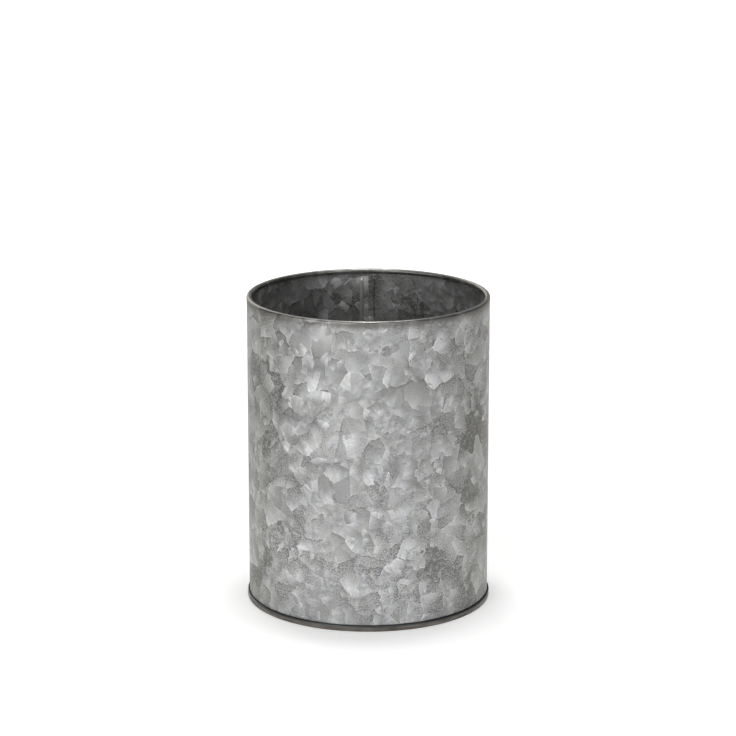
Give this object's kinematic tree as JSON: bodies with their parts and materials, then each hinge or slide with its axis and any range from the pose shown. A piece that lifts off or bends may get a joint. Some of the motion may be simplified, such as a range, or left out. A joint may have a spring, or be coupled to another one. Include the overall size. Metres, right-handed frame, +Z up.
{
  "type": "utensil caddy",
  "caption": "Open round caddy of spangled galvanised sheet steel with straight walls, a rolled wired rim and a double seamed base, for holding utensils upright.",
  "frame": {"origin": "on the table, under the middle of the base", "axes": "+Z up along the vessel's axis, the side seam at the back on +Y, the pictured side facing -Y"},
  "size_m": [0.1442, 0.1442, 0.183],
  "materials": {
    "galvanised_sheet": "hot dip galvanised, satin, with large spangle",
    "base_sheet": "dull dark steel, pressed",
    "wire": "drawn",
    "solder": "smooth, run along the seam",
    "compound": "cured sealing compound"
  },
  "bodies": {
    "root": {"wall_sheet": "galvanised_sheet", "rim_wire": "wire", "side_seam_solder": "solder", "base_pan": "base_sheet", "base_seam_compound": "compound"}
  },
  "joints": []
}
